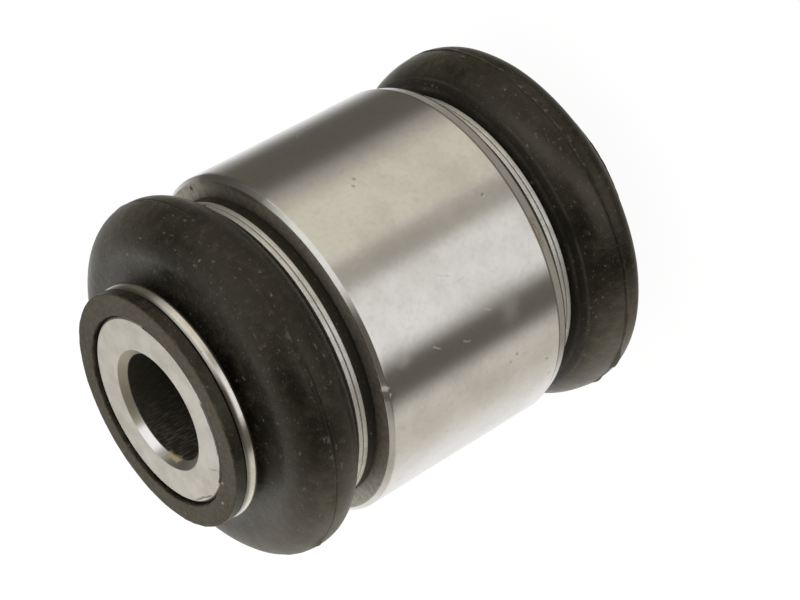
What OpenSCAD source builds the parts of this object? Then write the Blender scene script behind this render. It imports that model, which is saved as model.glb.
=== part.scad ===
// Sealed ball-sleeve bushing for a suspension arm.
// The bore lies along Z, with the ball's centre at the origin and the front end up.

/* [Outer sleeve] */
// Outside diameter, pressed into the arm's eye
outer_d = 45; // [43:0.5:50]
// Length between the two end faces
outer_len = 28.2; // [26:0.2:32]
// Chamfer on the front edge
front_chamfer = 0.55; // [0.3:0.05:1]
// Length of the lead-in cone on the rear edge
lead_in_len = 1.55; // [1:0.05:2.5]
// Depth of the lead-in cone on the rear edge
lead_in_depth = 0.45; // [0.3:0.05:1.2]
// Depth of the rolled lip over the closing ring
lip_depth = 0.85; // [0.6:0.05:1.2]
// Length of the rolled lip over the closing ring
lip_len = 0.9; // [0.6:0.05:1.4]
// Reach of the boot collars beyond the end faces
collar_len = 3.3; // [3.1:0.1:4.5]

/* [Ball sleeve] */
// Bore for the clamping bolt
bore_d = 14; // [12:0.5:15]
// Chamfer at both ends of the bore
bore_chamfer = 0.9; // [0.5:0.1:1.4]
// Overall length between the clamped end faces
sleeve_len = 62; // [58:0.5:68]
// Diameter of the lands at both ends
land_d = 24.4; // [23.6:0.1:25]
// Edge break on the lands
land_chamfer = 0.25; // [0.1:0.05:0.4]
// Length of each land
land_len = 1.6; // [1.2:0.1:2.2]
// Depth of the groove that the boot's rib sits in
groove_depth = 0.6; // [0.4:0.05:0.7]
// Width of the groove that the boot's rib sits in
groove_w = 1.8; // [1.4:0.1:2.2]
// Diameter of the necks beside the ball
neck_d = 23; // [21:0.25:23.2]
// Diameter of the ball
ball_d = 33; // [31.5:0.25:34]
// Largest tilt of the ball sleeve in the housing, in degrees
tilt_max = 10; // [6:1:11]

/* [Bearing shell] */
// Wall of the plastic shell at the ball's equator
shell_wall = 1.9; // [1.4:0.1:2.5]
// Width of the slit that lets the shell open over the ball
slit_w = 1.2; // [0.8:0.1:2]

/* [Boots] */
// Largest diameter of the boots
boot_d = 47.2; // [45:0.2:50]
// Wall of the boots
boot_wall = 1.9; // [1.4:0.1:2.2]
// Depth of the rounded fold, from the crown in to its flat front
fold_depth = 4.7; // [3.8:0.1:5.4]
// Length of the flank from the clamp ring up to the crown
flank_len = 5.6; // [4.6:0.1:6.6]
// Height above the clamp ring at which the flank turns up to the crown
flank_turn = 1.7; // [0.8:0.1:2.6]
// Thickness of the bead under the clamp ring's shoulders
bead_wall = 2.25; // [1.9:0.05:2.6]
// Depth of the groove for the clamp ring
clamp_seat_depth = 0.7; // [0.4:0.05:0.9]
// Width of the bead between the end face and the clamp ring
band_w = 1.5; // [1.1:0.1:2]
// Rise of the boot from its fold to the neck ring
neck_rise = 1.35; // [0.7:0.05:1.8]
// Thickness of the rubber between the sleeve and the neck ring
neck_wall = 1.7; // [1.3:0.1:2]
// Thickness of the end lip around the sleeve
end_lip_wall = 2.8; // [2.6:0.1:3.2]
// Length of the end lip beyond the neck ring
end_lip_len = 1.6; // [1.4:0.05:2.2]
// How far the end lip stands proud of the sleeve's end face
lip_proud = 0.3; // [0.1:0.05:0.6]
// Rounding of the rubber edges
rubber_round = 0.3; // [0.15:0.05:0.4]

/* [Rings] */
// Width of one turn of the clamp ring's flat wire
wire_w = 0.62; // [0.5:0.02:0.75]
// Thickness of the clamp ring's flat wire
wire_h = 0.75; // [0.6:0.05:0.9]
// Slit between the two turns
turn_gap = 0.06; // [0.04:0.01:0.12]
// Angle over which the wire crosses to its second turn, in degrees
crossover = 25; // [20:1:40]
// Width of the neck ring
neck_ring_w = 1.6; // [1.2:0.05:1.8]
// Thickness of the neck ring, up to its half-round crest
neck_ring_h = 1.25; // [1:0.05:1.5]

/* [Clearances] */
// Running clearance of the ball in the shell
ball_clearance = 0.05; // [0.02:0.01:0.1]
// Clearance of pieces that are pressed or clamped together
seat_gap = 0.04; // [0.02:0.01:0.08]
// Clearance of the end lip around the sleeve
neck_clearance = 0.25; // [0.15:0.05:0.4]
// Room left for the necks at full tilt
swing_clearance = 0.4; // [0.3:0.05:0.6]
// Spare angle between the shell's edge and the neck at full tilt, in degrees
edge_margin = 0.5; // [0.3:0.1:1]

/* [Hidden] */
$fn = 96;
over = 1;
arc_steps = 12;
arc_lead = 90 / arc_steps;
turn_step = 5;

// Radii, from the ball outwards
bore_r = bore_d / 2;
land_r = land_d / 2;
neck_r = neck_d / 2;
ball_r = ball_d / 2;
socket_r = ball_r + ball_clearance;
shell_r = socket_r + shell_wall;
housing_r = shell_r + seat_gap;
outer_r = outer_d / 2;
collar_r = shell_r - lip_depth;

// Heights, from the ball's centre to the front end
end_z = outer_len / 2;
collar_z = end_z + collar_len;
sleeve_z = sleeve_len / 2;
shell_z = socket_r * cos(asin(neck_r / ball_r) + tilt_max + edge_margin);
ring_z = shell_z + seat_gap;
lip_z = end_z - lip_len;

// Inside of the collars, wide enough for a neck at full tilt
collar_in_r = (neck_r + collar_z * sin(tilt_max)) / cos(tilt_max) + swing_clearance;

// Clamp ring and the bead that it holds
bead_in_r = collar_r + seat_gap;
bead_r = bead_in_r + bead_wall;
clamp_seat_r = bead_r - clamp_seat_depth;
clamp_z = end_z + band_w;
clamp_w = 2 * wire_w + turn_gap;
clamp_end_z = clamp_z + clamp_w;

// Neck ring and the end lip that it holds
neck_in_r = land_r + neck_clearance;
neck_seat_r = neck_in_r + neck_wall;
end_lip_r = neck_in_r + end_lip_wall;
boot_end_z = sleeve_z + lip_proud;
neck_ring_end_z = boot_end_z - end_lip_len;
neck_ring_z = neck_ring_end_z - neck_ring_w;

// Groove in the sleeve and the boot's rib in it
groove_end_z = sleeve_z - land_len;
groove_z = groove_end_z - groove_w;
groove_r = land_r - groove_depth;
rib_r = groove_r + neck_clearance;

// Bulge of the boots: a flank up to the crown, then a rounded fold down to the neck
flank_r = bead_r - rubber_round;
flank_z = clamp_end_z + 2 * seat_gap;
crown_r = boot_d / 2;
crown_z = flank_z + flank_len;
fold_r = crown_r - fold_depth;
fold_z = neck_ring_z - neck_rise;
fold_len = fold_z - crown_z;

// Points [radius, height] on an ellipse with semi-axes a along Z and b along the radius
function ellipse_arc(r, z, a, b, from, to) = [
    for (i = [0:arc_steps])
    let (t = from + (to - from) * i / arc_steps)
    [r + b * sin(t), z + a * cos(t)]
];

// Points on a curve that leaves p0 towards p1 and arrives at p2 from p1
function bend(p0, p1, p2) = [
    for (i = [0:arc_steps])
    let (t = i / arc_steps)
    pow(1 - t, 2) * p0 + 2 * t * (1 - t) * p1 + pow(t, 2) * p2
];

// Section of the boot at the front end: outside first, then back along the inside
function boot_section() = concat(
    [
        [bead_in_r, end_z + seat_gap],
        [bead_r - rubber_round, end_z + seat_gap],
        [bead_r, end_z + seat_gap + rubber_round],
        [bead_r, clamp_z - seat_gap],
        [clamp_seat_r, clamp_z - seat_gap],
        [clamp_seat_r, clamp_end_z + seat_gap],
        [flank_r, clamp_end_z + seat_gap]
    ],
    bend([flank_r, flank_z], [crown_r, flank_z + flank_turn], [crown_r, crown_z]),
    ellipse_arc(fold_r, crown_z, fold_len, fold_depth, 90 - arc_lead, 0),
    ellipse_arc(
        fold_r, neck_ring_z - seat_gap, neck_rise - seat_gap, fold_r - neck_seat_r, 180 + arc_lead, 270
    ),
    [
        [neck_seat_r, neck_ring_end_z + seat_gap],
        [end_lip_r, neck_ring_end_z + seat_gap],
        [end_lip_r, boot_end_z - rubber_round],
        [end_lip_r - rubber_round, boot_end_z],
        [neck_in_r + rubber_round, boot_end_z],
        [neck_in_r, boot_end_z - rubber_round],
        [neck_in_r, groove_end_z - neck_clearance],
        [rib_r, groove_end_z - 2 * neck_clearance],
        [rib_r, groove_z + 2 * neck_clearance],
        [neck_in_r, groove_z + neck_clearance],
        [neck_in_r, fold_z - boot_wall]
    ],
    ellipse_arc(fold_r, crown_z, fold_len - boot_wall, fold_depth - boot_wall, 0, 90 - arc_lead),
    bend(
        [crown_r - boot_wall, crown_z],
        [crown_r - boot_wall, flank_z + flank_turn + boot_wall],
        [bead_in_r, collar_z + seat_gap]
    )
);

// Section of the flat wire, with its corners broken
function wire_section() =
    let (c = wire_w / 4)
    [
        [0, c], [c, 0], [wire_h - c, 0], [wire_h, c],
        [wire_h, wire_w - c], [wire_h - c, wire_w], [c, wire_w], [0, wire_w - c]
    ];

// Axial step of the wire: none on the first turn, one pitch after the crossover
function turn_shift(a) =
    let (s = min(1, max(0, (a - 360 + crossover) / crossover)))
    (wire_w + turn_gap) * s * s * (3 - 2 * s);

// Two turns of flat wire, closed at both cut ends
module two_turn_ring(inner_r) {
    section = wire_section();
    sides = len(section);
    angles = [for (a = [0:turn_step:720 - crossover]) a];
    last = (len(angles) - 1) * sides;
    points = [
        for (a = angles, p = section)
        let (r = inner_r + p[0])
        [r * cos(a), r * sin(a), p[1] + turn_shift(a)]
    ];
    walls = [
        for (i = [0:sides:last - sides], k = [0:sides - 1])
        let (n = (k + 1) % sides)
        each [[i + k, i + n, i + sides + n], [i + k, i + sides + n, i + sides + k]]
    ];
    first_cap = [for (k = [sides - 1:-1:0]) k];
    last_cap = [for (k = [0:sides - 1]) last + k];
    polyhedron(points, concat(walls, [first_cap, last_cap]));
}

module outer_sleeve() {
    color("silver")
        rotate_extrude()
            polygon([
                [outer_r, lead_in_len - end_z],
                [outer_r, end_z - front_chamfer],
                [outer_r - front_chamfer, end_z],
                [collar_r + seat_gap, end_z],
                [collar_r + seat_gap, lip_z],
                [housing_r, lip_z],
                [housing_r, -ring_z],
                [collar_in_r, -ring_z],
                [collar_in_r, -collar_z],
                [collar_r - land_chamfer, -collar_z],
                [collar_r, land_chamfer - collar_z],
                [collar_r, -end_z],
                [outer_r - lead_in_depth, -end_z]
            ]);
}

// Neck, inner land, groove and end land, from the ball's centre to one end
module sleeve_end() {
    rotate_extrude()
        polygon([
            [0, 0],
            [neck_r, 0],
            [neck_r, groove_z - land_len],
            [land_r, groove_z - land_len],
            [land_r, groove_z],
            [groove_r, groove_z],
            [groove_r, groove_end_z],
            [land_r, groove_end_z],
            [land_r, sleeve_z - land_chamfer],
            [land_r - land_chamfer, sleeve_z],
            [0, sleeve_z]
        ]);
}

module bore_mouth() {
    translate([0, 0, sleeve_z - bore_chamfer])
        cylinder(h = bore_chamfer, r1 = bore_r, r2 = bore_r + bore_chamfer);
}

module ball_sleeve() {
    color("gainsboro")
        difference() {
            union() {
                sphere(r = ball_r);
                sleeve_end();
                mirror([0, 0, 1]) sleeve_end();
            }
            translate([0, 0, -sleeve_z - over])
                cylinder(h = sleeve_len + 2 * over, r = bore_r);
            bore_mouth();
            mirror([0, 0, 1]) bore_mouth();
        }
}

module bearing_shell() {
    color("ivory")
        difference() {
            translate([0, 0, -shell_z])
                cylinder(h = 2 * shell_z, r = shell_r);
            sphere(r = socket_r);
            translate([0, -slit_w / 2, -shell_z - over])
                cube([shell_r + over, slit_w, 2 * (shell_z + over)]);
        }
}

module closing_ring() {
    color("darkgray")
        rotate_extrude()
            polygon([
                [collar_in_r, ring_z],
                [shell_r, ring_z],
                [shell_r, lip_z - seat_gap],
                [collar_r, lip_z - seat_gap],
                [collar_r, collar_z - land_chamfer],
                [collar_r - land_chamfer, collar_z],
                [collar_in_r, collar_z]
            ]);
}

module boot() {
    color("#28251e")
        rotate_extrude()
            polygon(boot_section());
}

module front_boot() {
    boot();
}

module rear_boot() {
    mirror([0, 0, 1]) boot();
}

module clamp_ring() {
    color("lightgray")
        translate([0, 0, clamp_z])
            two_turn_ring(clamp_seat_r + seat_gap);
}

module front_clamp_ring() {
    clamp_ring();
}

module rear_clamp_ring() {
    rotate([180, 0, 0]) clamp_ring();
}

module neck_ring() {
    inner_r = neck_seat_r + seat_gap;
    crest = neck_ring_w / 2;
    mid_z = neck_ring_z + crest;
    shoulder_r = inner_r + neck_ring_h - crest;
    color("lightgray")
        rotate_extrude()
            polygon(concat(
                [[inner_r, neck_ring_end_z], [inner_r, neck_ring_z]],
                ellipse_arc(shoulder_r, mid_z, crest, crest, 180, 0)
            ));
}

module front_neck_ring() {
    neck_ring();
}

module rear_neck_ring() {
    mirror([0, 0, 1]) neck_ring();
}

outer_sleeve();
ball_sleeve();
bearing_shell();
closing_ring();
front_boot();
rear_boot();
front_clamp_ring();
rear_clamp_ring();
front_neck_ring();
rear_neck_ring();
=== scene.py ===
"""Looks of a sealed ball-sleeve bushing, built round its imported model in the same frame."""
import math

import bpy
from mathutils import Matrix, Vector, noise


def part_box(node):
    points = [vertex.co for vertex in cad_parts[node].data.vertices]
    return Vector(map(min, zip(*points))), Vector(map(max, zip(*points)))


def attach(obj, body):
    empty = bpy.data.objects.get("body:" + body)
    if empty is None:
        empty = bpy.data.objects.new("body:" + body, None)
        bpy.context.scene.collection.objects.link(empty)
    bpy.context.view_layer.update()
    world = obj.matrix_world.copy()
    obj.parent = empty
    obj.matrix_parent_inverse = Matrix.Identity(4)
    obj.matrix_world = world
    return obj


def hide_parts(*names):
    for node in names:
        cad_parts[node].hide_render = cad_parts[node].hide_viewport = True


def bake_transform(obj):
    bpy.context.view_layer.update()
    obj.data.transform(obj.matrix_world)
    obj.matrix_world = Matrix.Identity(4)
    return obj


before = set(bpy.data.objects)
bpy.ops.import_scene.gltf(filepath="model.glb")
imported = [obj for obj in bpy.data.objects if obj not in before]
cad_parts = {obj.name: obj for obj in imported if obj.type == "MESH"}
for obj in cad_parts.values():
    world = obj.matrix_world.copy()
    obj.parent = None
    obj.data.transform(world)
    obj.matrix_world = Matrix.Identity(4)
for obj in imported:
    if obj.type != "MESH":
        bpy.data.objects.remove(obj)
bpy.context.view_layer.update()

MM = 0.001
SEGMENTS = 320


def extent(node):
    """Largest radius, lowest and highest point of a node, in millimetres."""
    low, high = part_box(node)
    return high.x / MM, low.z / MM, high.z / MM


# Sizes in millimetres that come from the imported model
outer_r, rear_collar_z, end_z = extent("outer_sleeve")
ball_r, _, sleeve_z = extent("ball_sleeve")
clamp_r, clamp_z, clamp_end_z = extent("front_clamp_ring")
neck_ring_r, neck_ring_z, neck_ring_end_z = extent("front_neck_ring")
_, boot_start_z, boot_end_z = extent("front_boot")

# Outer sleeve, in millimetres
FRONT_CHAMFER = 0.55
LEAD_IN_LEN = 1.55
LEAD_IN_DEPTH = 0.45
COLLAR_R = 17.6
COLLAR_IN_R = 15.1
HOUSING_R = 18.49
LIP_DEPTH = 0.9
SHOULDER_Z = 9.6
STEEL_EDGE = 0.1

# Ball sleeve, in millimetres
BORE_R = 7.0
BORE_CHAMFER = 0.9
LAND_R = 12.2
LAND_LEN = 1.6
LAND_CHAMFER = 0.25
GROOVE_R = 11.6
GROOVE_W = 1.8
NECK_R = 11.5
LAND_EDGE = 0.1
FACE_EDGE = 0.06
BORE_EDGE = 0.07

# Boots, in millimetres
BEAD_R = 19.89
BEAD_IN_R = 17.64
CLAMP_SEAT_R = 19.19
FLANK_STEP = 0.06
NECK_SEAT_R = 14.15
END_LIP_R = 15.25
NECK_IN_R = 12.45
RIB_R = 11.85
RIB_INSET = 0.5
RIB_SLOPE = 0.25
RIB_EDGE = 0.1
BOOT_WALL = 1.9
RUBBER_ROUND = 0.3
RUBBER_EDGE = 0.12
SEAT_GAP = 0.04

# Steps along the stretches of a boot's section, and where its fold leaves the crown, in degrees
FLANK_STEPS = 40
FOLD_STEPS = 40
NECK_STEPS = 16
INSIDE_STEPS = 14
CROWN_TURN = 88

# Rings, in millimetres and degrees
WIRE_W = 0.66
WIRE_H = 0.75
WIRE_ROUND = 0.14
WIRE_IN_ROUND = 0.06
WIRE_HOLD = 0.03
WIRE_STEP = 1.25
TURN_PITCH = 0.72
CROSSOVER = 25
NECK_RING_CREST = 0.4
CREST_NEAR_DEPTH = 0.5
CREST_FAR_DEPTH = 0.8


# Shapes

def arc(centre, half_r, half_z, start, stop, steps):
    """Points (radius, height) on an ellipse; the angle runs from the height axis towards the radius."""
    angles = [math.radians(start + (stop - start) * i / steps) for i in range(steps + 1)]
    return [(centre[0] + half_r * math.sin(a), centre[1] + half_z * math.cos(a)) for a in angles]


def bend(p0, p1, p2, steps):
    """Points on a curve that leaves p0 towards p1 and arrives at p2 from p1."""
    a, b, c = Vector(p0), Vector(p1), Vector(p2)
    shares = [i / steps for i in range(steps + 1)]
    return [tuple(a * (1 - t) ** 2 + b * 2 * t * (1 - t) + c * t ** 2) for t in shares]


def rounded(corners, steps=4, hold=0.12):
    """Section through corners (radius, height, rounding), each one bent and held by a close point."""
    points = []
    count = len(corners)
    for i, corner in enumerate(corners):
        here = Vector(corner[:2])
        size = corner[2]
        if not size:
            points.append(tuple(here))
            continue
        before = Vector(corners[i - 1][:2]) - here
        after = Vector(corners[(i + 1) % count][:2]) - here
        first = here + before.normalized() * size
        last = here + after.normalized() * size
        if before.length > 3 * (size + hold):
            points.append(tuple(first + before.normalized() * hold))
        points += bend(first, here, last, steps)
        if after.length > 3 * (size + hold):
            points.append(tuple(last + after.normalized() * hold))
    return points


def finer(points, low, high, step):
    """The same outline, with close points between two heights."""
    dense = [points[0]]
    for a, b in zip(points, points[1:]):
        inside = max(a[1], b[1]) > low and min(a[1], b[1]) < high
        parts = math.ceil(math.dist(a, b) / step) if inside else 1
        dense += [tuple(Vector(a).lerp(Vector(b), k / parts)) for k in range(1, parts + 1)]
    return dense


def is_clockwise(section):
    """True where a section's points run the wrong way round for outward faces."""
    following = section[1:] + section[:1]
    return sum(a[0] * b[1] - b[0] * a[1] for a, b in zip(section, following)) < 0


def make_piece(name, points, faces, material):
    """A smooth mesh object from points in millimetres."""
    mesh = bpy.data.meshes.new(name)
    mesh.from_pydata([(x * MM, y * MM, z * MM) for x, y, z in points], [], faces)
    mesh.shade_smooth()
    mesh.materials.append(material)
    mesh.validate()
    piece = bpy.data.objects.new(name, mesh)
    bpy.context.scene.collection.objects.link(piece)
    return piece


def around(r, z, angle):
    """The point at a radius, height and angle."""
    return r * math.cos(angle), r * math.sin(angle), z


def lathe(name, section, material, shape=around):
    """A closed section turned round the bore; shape may push its points out of round."""
    section = section[::-1] if is_clockwise(section) else section
    count = len(section)
    turns = [2 * math.pi * j / SEGMENTS for j in range(SEGMENTS)]
    points = [shape(r, z, a) for a in turns for r, z in section]
    faces = []
    for j in range(SEGMENTS):
        here, there = j * count, (j + 1) % SEGMENTS * count
        for i in range(count):
            n = (i + 1) % count
            faces.append((here + i, there + i, there + n, here + n))
    return make_piece(name, points, faces, material)


def smooth_step(low, high, value):
    """0 at low, 1 at high, smooth between and level beyond; high may be the smaller one."""
    t = min(1.0, max(0.0, (value - low) / (high - low)))
    return t * t * (3 - 2 * t)


def bell(value, width):
    """A smooth bump of height 1 at zero."""
    return math.exp(-(value / width) ** 2)


# Shader nodes

class Graph:
    """Short calls that add nodes to one node tree."""

    def __init__(self, tree):
        self.tree = tree

    def node(self, kind, sockets=None, **settings):
        made = self.tree.nodes.new(kind)
        for key, value in settings.items():
            setattr(made, key, value)
        for key, value in (sockets or {}).items():
            self.feed(made.inputs[key], value)
        return made

    def feed(self, socket, value):
        if isinstance(value, bpy.types.NodeSocket):
            self.tree.links.new(value, socket)
        else:
            socket.default_value = value

    def math(self, operation, a, b=0.0, clamp=False):
        return self.node("ShaderNodeMath", {0: a, 1: b}, operation=operation, use_clamp=clamp).outputs[0]

    def times(self, a, b):
        return self.math("MULTIPLY", a, b)

    def plus(self, a, b):
        return self.math("ADD", a, b)

    def minus(self, a, b):
        return self.math("SUBTRACT", a, b)

    def highest(self, values):
        top = values[0]
        for value in values[1:]:
            top = self.math("MAXIMUM", top, value)
        return top

    def vector(self, operation, a, b=(0.0, 0.0, 0.0)):
        made = self.node("ShaderNodeVectorMath", {0: a, 1: b}, operation=operation)
        return made.outputs["Value" if operation in ("LENGTH", "DOT_PRODUCT", "DISTANCE") else "Vector"]

    def split(self, vector):
        return self.node("ShaderNodeSeparateXYZ", {0: vector}).outputs

    def join(self, x, y, z):
        return self.node("ShaderNodeCombineXYZ", {0: x, 1: y, 2: z}).outputs[0]

    def span(self, value, low, high, to_low=0.0, to_high=1.0):
        """A smooth change from to_low to to_high as a value goes from low to high, level beyond."""
        sockets = {"Value": value, "From Min": low, "From Max": high, "To Min": to_low, "To Max": to_high}
        return self.node("ShaderNodeMapRange", sockets, interpolation_type="SMOOTHSTEP").outputs[0]

    def band(self, value, centre, half, softness):
        """A mask that is 1 within half of a centre and fades beyond it."""
        gap = self.math("ABSOLUTE", self.minus(value, centre))
        return self.span(gap, half, half + softness, 1.0, 0.0)

    def noise(self, coords, scale, detail=2.0, roughness=0.5):
        sockets = {"Vector": coords, "Scale": scale, "Detail": detail, "Roughness": roughness}
        return self.node("ShaderNodeTexNoise", sockets).outputs["Fac"]

    def mix(self, share, a, b):
        made = self.node("ShaderNodeMix", {0: share, 6: a, 7: b}, data_type="RGBA")
        return made.outputs[2]


# Radius at which specks are as long as wide; on a larger radius they are drawn out round the bore
SWEEP_R = 12.0
# Softness of a mark along a rim, at its ends as a cosine and at its sides in millimetres
RIM_END_FADE = 0.004
RIM_SIDE_FADE = 0.1
# Push and scale of the wobble in the specks
SPECK_WOBBLE = (0.6, 2.5)


class Finish(Graph):
    """A material whose pattern is laid out in millimetres on the part."""

    def __init__(self, name):
        self.material = bpy.data.materials.new(name)
        self.material.use_nodes = True
        super().__init__(self.material.node_tree)
        self.shader = self.tree.nodes["Principled BSDF"]
        place = self.node("ShaderNodeTexCoord").outputs["Object"]
        self.mm = self.vector("MULTIPLY", place, (1 / MM, 1 / MM, 1 / MM))
        self.x, self.y, self.z = self.split(self.mm)
        self.radius = self.vector("LENGTH", self.join(self.x, self.y, 0.0))
        self.depth = self.math("ABSOLUTE", self.z)

    def set(self, **values):
        for key, value in values.items():
            self.feed(self.shader.inputs[key.replace("_", " ")], value)

    def bump(self, height, distance):
        sockets = {"Height": height, "Distance": distance * MM, "Strength": 1.0}
        return self.node("ShaderNodeBump", sockets).outputs[0]

    def tint(self, colour, share, strength, other):
        """A colour moved towards another one where a mask is up."""
        return self.mix(self.times(share, strength), colour, other)

    def wobbled(self, amount, scale, place=None):
        """The place on the part, pushed about a little so that a mark's edge is ragged."""
        place = place or self.mm
        sockets = {"Vector": place, "Scale": scale, "Detail": 2.0}
        drift = self.node("ShaderNodeTexNoise", sockets).outputs["Color"]
        drift = self.vector("SUBTRACT", drift, (0.5, 0.5, 0.5))
        return self.vector("ADD", place, self.vector("MULTIPLY", drift, (amount, amount, amount)))

    def spot(self, place, centre, radius, softness):
        """A mask that is 1 within a radius of a point and fades beyond it."""
        gap = self.vector("DISTANCE", place, centre)
        return self.span(gap, radius, radius + softness, 1.0, 0.0)

    def stroke(self, place, start, end, width, softness):
        """A mask that is 1 along the line from start to end and fades beyond its width."""
        start, end = Vector(start), Vector(end)
        run = end - start
        offset = self.vector("SUBTRACT", place, tuple(start))
        share = self.vector("DOT_PRODUCT", offset, tuple(run / run.length_squared))
        share = self.math("ADD", share, 0.0, clamp=True)
        along = self.vector("MULTIPLY", self.join(share, share, share), tuple(run))
        gap = self.vector("DISTANCE", offset, along)
        return self.span(gap, width, width + softness, 1.0, 0.0)

    def rim_mark(self, place, start, end, radius, width):
        """A mask along part of a circle round the bore, between two angles in degrees."""
        x, y, _ = self.split(place)
        flat = self.join(x, y, 0.0)
        mid = math.radians((start + end) / 2)
        reach = math.cos(math.radians(abs(end - start) / 2))
        aim = self.vector("DOT_PRODUCT", self.vector("NORMALIZE", flat), (math.cos(mid), math.sin(mid), 0))
        inside = self.span(aim, reach - RIM_END_FADE, reach + RIM_END_FADE)
        return self.times(inside, self.band(self.vector("LENGTH", flat), radius, width, RIM_SIDE_FADE))

    def specks(self, scale, largest):
        """A mask of specks drawn out round the bore: how close they lie, the share of the gap they fill."""
        turn = self.math("ARCTAN2", self.y, self.x)
        swept = self.join(self.times(turn, SWEEP_R), self.z, self.radius)
        place = self.wobbled(*SPECK_WOBBLE, swept)
        cells = self.node("ShaderNodeTexVoronoi", {"Vector": place, "Scale": scale}).outputs
        size = self.times(self.math("POWER", self.split(cells["Color"])[0], 2.0), largest)
        return self.span(cells["Distance"], self.times(size, 0.5), size, 1.0, 0.0)


def on_sleeve(angle, height):
    """A point on the outer sleeve's outside, from an angle in degrees and a height."""
    return around(outer_r, height, math.radians(angle))


def on_end(angle, radius):
    """A point on the ball sleeve's front face, from an angle in degrees and a radius."""
    return around(radius, sleeve_z, math.radians(angle))


# Materials

STEEL_CLEAN = (0.70, 0.68, 0.645, 1)
STEEL_DULL = (0.62, 0.60, 0.56, 1)
STEEL_MOTTLE = (0.50, 0.47, 0.42, 1)
STEEL_BRIGHT = (0.88, 0.87, 0.85, 1)
# Dark of the pits, smear and marks, also used for lines of painted shade
STEEL_PIT_AND_SHADE = (0.05, 0.045, 0.04, 1)
END_PALE = (0.48, 0.45, 0.39, 1)
END_DIM = (0.34, 0.31, 0.25, 1)
RUST_TAN = (0.30, 0.21, 0.11, 1)

# Light scratches on the outer sleeve: start and end as (angle, height), half width
SCRATCHES = [
    ((-95.5, 2.1), (-97.5, 0.7), 0.010),
    ((-111.6, -2.2), (-112.9, -2.9), 0.012),
    ((-114.2, 6.1), (-115.6, 5.3), 0.024),
    ((-117.5, 1.8), (-118.6, 1.0), 0.010),
    ((-26.0, 2.2), (-20.0, -0.4), 0.024),
    ((-100.2, 0.6), (-100.0, -1.0), 0.008),
]
SCRATCH_FADE = 0.17
# Dark pits on the outer sleeve: angle, height, radius
PITS = [
    (-131.9, -5.6, 0.06),
    (-133.6, -4.6, 0.05),
    (-141.0, -10.6, 0.09),
    (-149.0, -11.4, 0.08),
    (-56.9, 3.4, 0.10),
    (-59.0, 4.2, 0.07),
    (-21.2, -4.1, 0.07),
    (-22.0, -0.7, 0.08),
    (-81.3, -8.8, 0.08),
]
PIT_FADE = 0.25
# A deeper pit on the outer sleeve's front face: X and Y, radius and softness
FACE_PIT = (21.26, -2.42)
FACE_PIT_SIZE = (0.22, 0.2)
# Dull smudges on the outer sleeve: angle, height, reach
SMUDGES = [
    (-117.0, -5.6, 2.42),
    (-80.5, -3.5, 2.2),
    (-113.0, 10.5, 1.76),
]
# A dark smear on the front edge: first and last angle, distance from the edge, half width and softness
SMEAR = (-15, -46)
SMEAR_INSET = 0.2
SMEAR_SIZE = (0.2, 1.1)
# A rusty stain on the lead-in cone: first and last angle, place along the cone, half width and softness
STAIN = (-95.5, -103)
STAIN_PLACE = 0.7
STAIN_SIZE = (0.05, 0.7)
# Lines of painted shade at the two edges of the lead-in cone: half width and softness
CONE_START_SHADE = (0.06, 0.16)
CONE_END_SHADE = (0.16, 0.20)


def smear_mask(f, place):
    """Mask of the smear, which follows the front edge in two straight runs."""
    height = end_z - SMEAR_INSET
    first, last = [around(outer_r - SMEAR_INSET, height, math.radians(a)) for a in SMEAR]
    middle = around(outer_r - SMEAR_INSET / 2, height, math.radians(sum(SMEAR) / 2))
    return f.highest([f.stroke(place, a, b, *SMEAR_SIZE) for a, b in ((first, middle), (middle, last))])


def stain_mask(f):
    """Mask of the broken rusty stain."""
    height = -end_z + STAIN_PLACE * LEAD_IN_LEN
    first, last = [around(outer_r, height, math.radians(a)) for a in STAIN]
    stain = f.stroke(f.wobbled(1.0, 1.6), first, last, *STAIN_SIZE)
    return f.times(stain, f.span(f.noise(f.mm, 2.6, 4.0, 0.6), 0.38, 0.58))


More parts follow.
